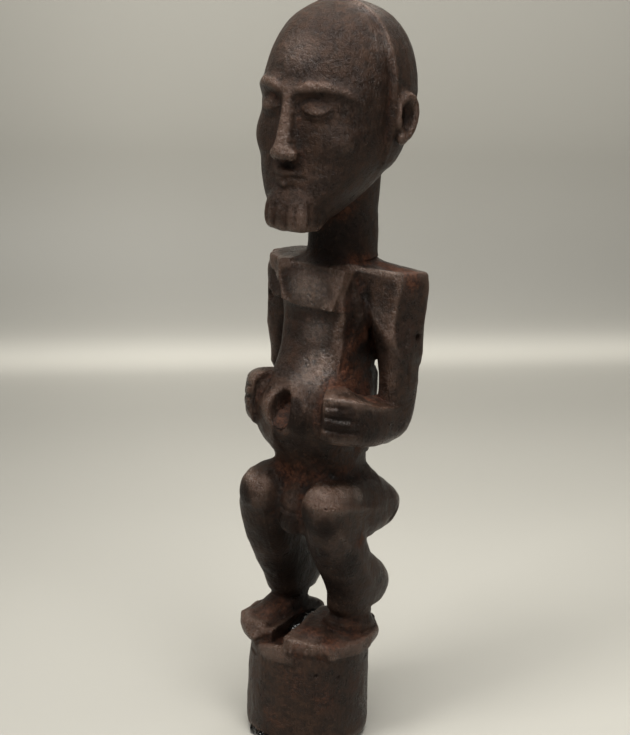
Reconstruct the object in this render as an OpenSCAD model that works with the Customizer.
// Carved standing figure on a round plinth.
// Millimetres. +Z is up, the front of the figure faces -Y and its own left side is +X.
// The origin is the centre of the plinth's flat underside.

/* [Figure] */
// Height of the carved figure from the top of the plinth to the crown
figure_h = 201.5; // [150:0.5:260]
// Sides of every carved cross-section, more gives rounder limbs
ring_sides = 24; // [20:2:32]

/* [Plinth] */
// Radius of the round plinth
plinth_r = 19.1; // [18.5:0.1:20.5]
// Height of the plinth under the feet
plinth_h = 31.5; // [20:0.5:45]
// Radius of the worn lower edge of the plinth
plinth_edge = 2.6; // [1:0.2:4]

/* [Torso] */
// How far the chest panel stands proud of the ribs
chest_step = 1.5; // [0.8:0.1:2.5]
// Width of the oval socket in the belly
navel_w = 8; // [5:0.5:9]
// Height of the oval socket in the belly
navel_h = 13; // [8:0.5:14]
// Depth of the socket below the top of the belly
navel_depth = 8; // [6:0.5:9]
// Thickness of the old packing at the bottom of the socket
charge_t = 2.2; // [1:0.2:3]

/* [Head] */
// Radius of the neck column
neck_r = 10.0; // [9:0.1:11]
// How far the hair cap stands proud of the brow
cap_raise = 0.9; // [0.4:0.1:1.5]

/* [Drilled hole] */
// Radius of the hole drilled in the left upper arm
hole_r = 1.1; // [0.8:0.1:1.4]
// Depth of that hole below the face of the arm
hole_depth = 6; // [4:0.5:6]

/* [Hidden] */

ankle_z = 37.6;                // height of the division between a foot and its shank
feet_z = 28.5;                 // height of the feet's underside in the tables below
k = figure_h / (230 - feet_z); // the tables are drawn for a figure of 201.5 mm
n = ring_sides;
wood = [0.24, 0.17, 0.14];
wood_warm = [0.32, 0.20, 0.15];
wood_dark = [0.17, 0.13, 0.12];
resin = [0.05, 0.04, 0.04];
earth = [0.42, 0.20, 0.12];

// ---------- section and loft functions ----------
function sp(v, p) = (v < 0 ? -1 : 1) * pow(abs(v), p);
function unit(v) = v / norm(v);
// Catmull-Rom blend of four table rows
function blend(a, b, c, d, t) =
    0.5 * (2 * b + (c - a) * t + (2 * a - 5 * b + 4 * c - d) * t * t + (3 * b - a - 3 * c + d) * t * t * t);
function smooth(T, m) = concat(
    [for (i = [0 : len(T) - 2]) for (j = [0 : m - 1])
        blend(T[max(i - 1, 0)], T[i], T[i + 1], T[min(i + 2, len(T) - 1)], j / m)],
    [T[len(T) - 1]]);
// level section: [z, centre x, front y, widest y, back y, half width, squareness]
function level(r) = [for (i = [0 : n - 1]) let (t = 360 * i / n, c = sp(cos(t), 2 / r[6]), s = sp(sin(t), 2 / r[6]))
    [r[1] + r[5] * c, r[3] + (s < 0 ? (r[3] - r[2]) : (r[4] - r[3])) * s, r[0]]];
// section across a limb: [x, y, z, half width, half height, squareness]
function across(T, i) =
    let (r = T[i], a = T[max(i - 1, 0)], b = T[min(i + 1, len(T) - 1)],
         d = unit([b[0] - a[0], b[1] - a[1], b[2] - a[2]]),
         u = unit(cross([0, 0, 1], d)), v = cross(d, u))
    [for (j = [0 : n - 1]) let (t = 360 * j / n)
        [r[0], r[1], r[2]] + u * r[3] * sp(cos(t), 2 / r[5]) + v * r[4] * sp(sin(t), 2 / r[5])];

module skin(rings) {
    m = len(rings);
    polyhedron(
        points = [for (r = rings) for (p = r) p],
        faces = concat(
            [[for (i = [0 : n - 1]) i]],
            [[for (i = [n - 1 : -1 : 0]) (m - 1) * n + i]],
            [for (q = [0 : m - 2]) for (i = [0 : n - 1]) let (a = q * n + i, b = q * n + (i + 1) % n)
                [a, a + n, b + n]],
            [for (q = [0 : m - 2]) for (i = [0 : n - 1]) let (a = q * n + i, b = q * n + (i + 1) % n)
                [a, b + n, b]]),
        convexity = 6);
}
module tower(T, m = 2) skin([for (r = smooth(T, m)) level(r)]);
module limb(T, m = 2) { S = smooth(T, m); skin([for (i = [0 : len(S) - 1]) across(S, i)]); }
// carve: the children become one carved surface
module carve() resize([0, 0, 0]) union() children();
// half spaces used to part one region of the billet from the next
module above(z, y0 = 0, slope = 0) translate([0, y0, z]) rotate([slope, 0, 0]) translate([-60, -90, 0]) cube([120, 180, 120]);
module below(z, y0 = 0, slope = 0) translate([0, y0, z]) rotate([slope, 0, 0]) translate([-60, -90, -120]) cube([120, 180, 120]);
module side(s, x) translate([s > 0 ? x : -x - 60, -60, 0]) cube([60, 120, 240]);

// ---------- head ----------
HEAD = [
    [166.0, 0, -22.6, -17, -11.0,  6.0, 2.6],
    [169.0, 0, -23.2, -14,  -5.0,  9.4, 2.6],
    [174.0, 0, -23.2, -11,   4.0, 13.0, 2.6],
    [180.0, 0, -23.2,  -7,  12.0, 16.4, 2.5],
    [187.0, 0, -23.2,  -3,  18.4, 18.8, 2.3],
    [195.0, 0, -23.6,  -1,  23.0, 19.8, 2.2],
    [204.0, 0, -23.6,   0,  24.8, 20.4, 2.2],
    [213.0, 0, -22.2,   0,  24.2, 19.2, 2.1],
    [220.0, 0, -18.6,   0,  21.2, 16.6, 2.1],
    [225.5, 0, -13.6,   0,  16.2, 12.4, 2.1],
    [228.8, 0,  -7.0,   0,   9.2,  7.0, 2.1],
    [230.0, 0,  -1.6,   0,   3.2,  2.4, 2.1]];
module skull() tower(HEAD, 2);
// hair cap: the same skull, raised, behind the edge that runs over the crown to the ears
module cap_raw() intersection() {
    translate([0, 0.6, 198]) scale([1 + cap_raise / 20, 1 + cap_raise / 24, 0.999]) translate([0, 0, -198]) tower(HEAD, 2);
    translate([-40, -1.2, 182]) cube([80, 60, 60]);
}
module face_marks() {
    // nose
    tower([[185.0, 0, -25.6, -22, -18, 3.0, 2.2], [186.2, 0, -27.6, -22, -18, 3.8, 2.2], [189, 0, -27.2, -22, -18, 3.2, 2.2],
           [195, 0, -26.0, -21, -18, 2.3, 2.2], [201, 0, -25.0, -21, -18, 2.1, 2.2], [205, 0, -24.0, -20, -16, 2.4, 2.2]], 1);
    for (s = [-1, 1]) {
        // brow
        limb([[s * 1, -23.2, 204.6, 1, 1.2, 2], [s * 6, -22.6, 206.0, 1.3, 1.3, 2], [s * 12, -18.8, 205.2, 1.3, 1.2, 2], [s * 16.6, -12.6, 202.4, 0.8, 0.8, 2]], 2);
        // eyelids
        translate([s * 7.6, -20.9, 199.4]) rotate([0, 0, s * 20]) scale([4.2, 2.3, 1.9]) sphere(1, $fn = 24);
    }
    // lips
    translate([0, -23.2, 181.0]) scale([4.6, 2.0, 1.0]) sphere(1, $fn = 24);
    translate([0, -23.2, 179.2]) scale([4.0, 2.0, 1.0]) sphere(1, $fn = 24);
}
module beard_raw() tower([
    [164.6, 0.4, -25.0, -19, -13.5, 6.6, 3.6], [166.0, 0.4, -26.0, -19, -12.0, 7.6, 3.6],
    [169.6, 0.4, -26.6, -18,  -9.0, 8.2, 3.4], [173.6, 0.4, -25.8, -17,  -9.0, 8.0, 3.2],
    [177.0, 0.4, -24.0, -16,  -9.0, 6.8, 3.0]], 2);
module ear_raw(s) translate([s * 20.2, 3.8, 197.6]) rotate([8, 0, 0]) difference() {
    scale([1, 0.62, 1]) rotate([0, 90, 0]) translate([0, 0, -3.2]) cylinder(h = 6.4, r1 = s > 0 ? 6.2 : 7.2, r2 = s > 0 ? 7.2 : 6.2, $fn = 32);
    scale([1, 0.55, 1]) translate([s * 3.4, -0.8, 0.4]) sphere(4.4, $fn = 28);
}
module neck_raw() tower([
    [146, 0, -4.6, 6.2, 17, neck_r + 0.4, 2.3], [152, 0, -4.2, 6.2, 16.6, neck_r, 2.3], [165, 0, -4.0, 6.4, 16.8, neck_r, 2.3],
    [176, 0, -4.4, 6.4, 17.2, neck_r + 0.2, 2.3], [190, 0, -5, 6.4, 17.6, neck_r + 0.4, 2.3]], 2);

// ---------- torso ----------
TORSO = [
    [ 70, 0,  -7.0,  3, 12.0, 11.0, 3.0],
    [ 78, 0,  -9.0,  2, 13.0, 12.4, 3.0],
    [ 86, 0, -10.5,  2, 13.6, 13.0, 3.0],
    [ 92, 0, -12.5,  2, 13.8, 13.4, 3.0],
    [ 98, 0, -17.5,  1, 14.4, 14.6, 2.8],
    [104, 0, -21.5,  0, 15.0, 15.4, 2.6],
    [109, 0, -22.5,  0, 15.4, 15.2, 2.6],
    [114, 0, -19.5,  0, 15.8, 14.2, 2.8],
    [120, 0, -13.5,  0, 16.2, 13.0, 3.2],
    [127, 0, -10.2,  1, 16.6, 12.6, 3.6],
    [135, 0,  -9.0,  2, 17.2, 13.2, 3.8],
    [143, 0,  -8.6,  3, 17.6, 14.6, 4.0],
    [149, 0,  -7.4,  4, 17.2, 15.0, 4.0],
    [151.5, 0, -5.0, 5, 15.6, 14.0, 3.6]];
module torso() tower(TORSO, 2);
module chest_panel() tower([
    [137.4, 0.4, -9.0, -4, 0,  8.8, 3.2], [139.6, 0.2, -9.0 - chest_step, -4, 0, 10.8, 3.4],
    [145, 0, -8.8 - chest_step, -4, 0, 12.2, 4], [149.4, 0, -7.8 - chest_step, -3, 2, 13.2, 4],
    [151, 0, -6.4 - chest_step, -3, 2, 12.8, 4]], 2);
module navel_cut() translate([-0.8, -22.5, 109.5]) scale([navel_w / 2, navel_depth, navel_h / 2]) rotate([0, 0, 0]) sphere(1, $fn = 32);
module charge_raw() intersection() {
    navel_cut();
    torso();
    translate([-0.8, -22.5, 109.5]) rotate([-45, 0, 0]) translate([-10, 0.707 * (navel_depth + navel_h / 2) / 1.42 - charge_t, -20]) cube([20, 20, 40]);
}

// ---------- arms ----------
ARM_L = [
    [ 96.4, 20.4,  6.0, 10.0, 12.6, 1.6, 2.4],
    [ 98.2, 20.6,  3.4,  9.6, 14.8, 3.4, 2.6],
    [102.6, 20.9,  2.0,  9.4, 16.2, 4.5, 3.0],
    [110.0, 21.0,  2.6,  9.6, 16.6, 4.3, 3.2],
    [119.0, 20.9,  3.0,  9.8, 16.6, 4.3, 3.2],
    [128.0, 20.6,  1.8,  9.2, 16.8, 5.1, 3.2],
    [136.0, 19.9,  0.2,  8.6, 17.0, 6.4, 3.2],
    [143.0, 19.2, -1.2,  8.2, 17.2, 7.6, 3.4],
    [147.6, 18.9, -1.0,  8.2, 17.0, 8.0, 3.4],
    [150.0, 18.0,  1.0,  8.6, 15.6, 7.0, 3.2]];
function flip(T, dx, dy) = [for (r = T) [r[0], -r[1] + dx, r[2] + dy, r[3] + dy, r[4] + dy, r[5], r[6]]];
FORE_L = [
    [20.2, 14.5, 102.4, 2.2, 3.0, 2.6],
    [20.6, 11.5, 102.8, 4.0, 5.4, 2.8],
    [20.8,  4.0, 104.0, 4.6, 6.0, 2.8],
    [20.4, -4.0, 105.4, 4.6, 6.6, 2.8],
    [18.6,-10.6, 107.6, 4.4, 7.6, 3.0],
    [15.8,-16.0, 109.0, 4.0, 8.0, 3.2],
    [13.4,-18.8, 109.4, 2.6, 7.0, 3.0]];
function flip_limb(T, dx, dy) = [for (r = T) [-r[0] + dx, r[1] + dy, r[2], r[3], r[4], r[5]]];
module arm_raw(s) tower(s > 0 ? ARM_L : flip(ARM_L, 1.2, 2.4), 2);
module fore_raw(s) limb(s > 0 ? FORE_L : flip_limb(FORE_L, 1.45, 1.2), 2);
module wrist_cut(s) translate([s * 20.6, -6.0, 105.4]) rotate([0, 0, s * 24]) translate([-20, -40, -30]) cube([40, 40, 60]);
module finger_lines(s) for (z = [-3.4, 0, 3.4])
    translate([s * 20.0, -15.5, 110.2 + z]) rotate([0, 0, s * 28]) translate([s > 0 ? -2 : -4, -6, -0.35]) cube([6, 12, 0.7]);

// ---------- legs ----------
THIGH_L = [
    [ 9.6, 26.0, 71.0, 1.6, 2.0, 2.2],
    [ 9.7, 24.6, 71.0, 4.4, 5.6, 2.3],
    [ 9.9, 20.0, 71.8, 6.8,  8.6, 2.4],
    [10.2, 12.0, 73.0, 8.0, 10.2, 2.5],
    [10.8,  3.0, 75.2, 8.2, 10.0, 2.5],
    [11.8, -6.0, 77.6, 8.2,  9.0, 2.5],
    [12.4,-13.0, 79.0, 7.6,  8.0, 2.5],
    [12.6,-18.0, 79.2, 5.8,  5.8, 2.4],
    [12.6,-20.4, 79.2, 2.4,  2.4, 2.2]];
SHANK_L = [
    [34.0, 10.9,  1.2,  6.0, 12.0, 5.6, 2.5],
    [37.0, 10.9,  1.0,  6.0, 12.2, 5.5, 2.5],
    [41.0, 11.0, -2.6,  6.6, 17.6, 6.5, 2.5],
    [46.0, 11.8, -4.0,  7.0, 20.4, 7.1, 2.5],
    [53.0, 12.2, -8.2,  3.6, 16.8, 7.6, 2.5],
    [61.0, 12.3,-13.2, -4.0,  6.8, 7.8, 2.6],
    [69.0, 12.3,-17.2, -7.4,  3.0, 7.7, 2.6],
    [76.0, 12.4,-19.0, -9.0,  2.0, 7.7, 2.6]];
SHANK_R = [
    [34.0,-12.8,  1.0,  5.6, 11.0, 5.6, 2.5],
    [37.0,-12.8,  0.8,  5.6, 11.2, 5.5, 2.5],
    [41.0,-12.6, -2.8,  6.2, 16.2, 6.2, 2.5],
    [46.0,-12.3, -5.6,  6.2, 18.6, 6.8, 2.5],
    [53.0,-12.1, -9.4,  2.8, 15.6, 7.2, 2.5],
    [61.0,-12.1,-13.4, -4.6,  6.2, 7.5, 2.6],
    [69.0,-12.3,-16.6, -7.6,  3.0, 7.6, 2.6],
    [76.0,-12.5,-18.0, -8.6,  2.0, 7.5, 2.6]];
module thigh_raw(s) limb(s > 0 ? THIGH_L : flip_limb(THIGH_L, 0.9, 0.4), 2);
module shank_raw(s) tower(s > 0 ? SHANK_L : SHANK_R, 2);
module groin_raw() tower([
    [68.0, 0.6, -14.5, -11, -6, 2.4, 2.6], [69.4, 0.6, -16.6, -11, -5, 4.2, 2.6], [74, 0.4, -17.2, -10, -5, 4.8, 2.6],
    [79, 0.2, -15.6, -9, -4, 4.2, 2.6], [85, 0, -12.5, -8, -4, 3.4, 2.4]], 2);

// ---------- feet, plinth and residues ----------
FOOT_L = [[4.8, -19], [11, -16.4], [17.8, -11.2], [20.2, -3], [20.8, 5], [19, 12], [13.5, 16.2], [6, 18], [-1.8, 18.2], [-2.8, 9.5], [-1.9, 2], [-0.6, -5.2], [1.0, -12]];
FOOT_R = [[-10, -18.4], [-17.4, -14.6], [-20.6, -9.6], [-21, -2], [-20.4, 6], [-17.6, 12], [-12, 16.6], [-6.6, 17.8], [-6.2, 6], [-6.8, -6], [-7.4, -14]];
module foot_raw(F) hull() {
    translate([0, 0, feet_z]) linear_extrude(0.8) offset(r = -1.4) polygon(F);
    translate([0, 0, feet_z + 1.8]) linear_extrude(2.6) offset(r = -0.1) polygon(F);
    translate([0, 0, feet_z + 5.4]) linear_extrude(0.7) offset(r = -1.6) polygon(F);
}
INSTEP_L = [
    [33.2, 11.2, -13.5, 4.0, 14.0, 8.4, 2.8],
    [35.6, 11.2,  -8.0, 5.0, 13.0, 7.2, 2.7],
    [37.6, 11.0,  -0.6, 6.0, 12.6, 6.0, 2.6]];
INSTEP_R = [
    [33.2, -13.6, -12.5, 4.0, 13.2, 6.4, 2.8],
    [35.6, -13.4,  -7.0, 5.0, 12.2, 5.9, 2.7],
    [37.6, -12.9,  -0.6, 5.5, 11.8, 5.9, 2.6]];
module foot_wedge(s) tower(s > 0 ? INSTEP_L : INSTEP_R, 1);
// ---------- one module per piece ----------
module head() color(wood) carve() difference() {
    union() { skull(); face_marks(); }
    cap_raw();
    beard_raw();
    below(176.4, 6.2, 31);
}
module hair_cap() color(wood_warm) carve() difference() { cap_raw(); below(176.4, 6.2, 31); }
module ear(s) color(wood) carve() difference() { ear_raw(s); skull(); cap_raw(); }
module left_ear() ear(1);
module right_ear() ear(-1);
module beard() color(wood_dark) carve() difference() { beard_raw(); below(176.4, 6.2, 31); }
module neck() color(wood) carve() intersection() { neck_raw(); above(151.2); below(176.4, 6.2, 31); }
module chest() color(wood) carve() difference() {
    union() { torso(); chest_panel(); }
    below(127); above(151.2); side(1, 14.2); side(-1, 14.2);
}
module abdomen() color(wood_warm) carve() difference() {
    torso();
    above(127); below(89); navel_cut();
}
module pelvis() color(wood_dark) carve() difference() { torso(); above(89); below(72); }
module groin() color(wood) carve() difference() { groin_raw(); torso(); thigh_raw(1); thigh_raw(-1); shank_raw(1); shank_raw(-1); }
module arm_body(s) carve() intersection() {
    difference() { arm_raw(s); torso_core(); }
    side(s, 14.2);
    above(100.5, 9, -42);
}
// the chest's flank inside the dividing plane, clear of the arms below the armpit
module torso_core() translate([0, 0, 0]) intersection() { torso(); translate([-14.2, -40, 80]) cube([28.4, 80, 80]); }
module left_upper_arm() color(wood) difference() {
    arm_body(1);
    translate([25.8 - hole_depth, 11.4, 131]) rotate([0, 90, 0]) cylinder(h = hole_depth + 6, r = hole_r, $fn = 32);
}
module right_upper_arm() color(wood) arm_body(-1);
module forearm(s) color(wood_warm) carve() difference() {
    union() { fore_raw(s); arm_raw(s); }
    above(100.5, 9, -42);
    torso();
    wrist_cut(s);
}
module left_forearm() forearm(1);
module right_forearm() forearm(-1);
module hand(s) color(wood) carve() difference() {
    intersection() { fore_raw(s); wrist_cut(s); }
    torso();
    finger_lines(s);
}
module left_hand() hand(1);
module right_hand() hand(-1);
module thigh(s) color(wood_warm) carve() difference() {
    intersection() { thigh_raw(s); side(s, 0.2); }
    pelvis_block();
}
module pelvis_block() intersection() { torso(); translate([-30, -40, 72]) cube([60, 80, 60]); }
module left_thigh() thigh(1);
module right_thigh() thigh(-1);
module shank(s) color(wood) carve() difference() {
    intersection() { shank_raw(s); side(s, 0.2); }
    thigh_raw(s);
    pelvis_block();
    below(ankle_z);
}
module left_shank() shank(1);
module right_shank() shank(-1);
module foot_body(s) difference() {
    union() { foot_raw(s > 0 ? FOOT_L : FOOT_R); foot_wedge(s); shank_raw(s); }
    above(ankle_z);
}
module left_foot() color(wood_dark) carve() foot_body(1);
module right_foot() color(wood_dark) carve() foot_body(-1);
PLINTH = concat([[0, 0]],
    [for (a = [0 : 15 : 90]) [plinth_r - plinth_edge + plinth_edge * sin(a), plinth_edge - plinth_edge * cos(a)]],
    [[plinth_r, plinth_h], [0, plinth_h]]);
module plinth() color(wood) rotate_extrude($fn = 96) polygon(PLINTH);
module navel_charge() color(earth) carve() charge_raw();
module foot_resin() color(resin) carve() difference() {
    translate([-4.7, 4.6, feet_z + 1.0]) scale([3.4, 8.4, 3.1]) sphere(1, $fn = 32);
    below(feet_z);
    foot_body(1); foot_body(-1);
}
// a run of old resin along the lower edge of the plinth, at the front
module base_resin() color(resin) carve() difference() {
    rotate([0, 0, -24]) translate([0, -17.7, 1.6]) scale([7.6, 1.7, 1.7]) sphere(1, $fn = 24);
    scale([1.0008, 1.0008, 1]) plinth();
    translate([-60, -60, -20.08]) cube([120, 120, 20.1]);
}
// stands the figure on its plinth
module stand() translate([0, 0, plinth_h]) scale(k) translate([0, 0, -feet_z]) children();

stand() head();
stand() hair_cap();
stand() left_ear();
stand() right_ear();
stand() beard();
stand() neck();
stand() chest();
stand() abdomen();
stand() pelvis();
stand() groin();
stand() left_upper_arm();
stand() right_upper_arm();
stand() left_forearm();
stand() right_forearm();
stand() left_hand();
stand() right_hand();
stand() left_thigh();
stand() right_thigh();
stand() left_shank();
stand() right_shank();
stand() left_foot();
stand() right_foot();
plinth();
stand() navel_charge();
stand() foot_resin();
base_resin();
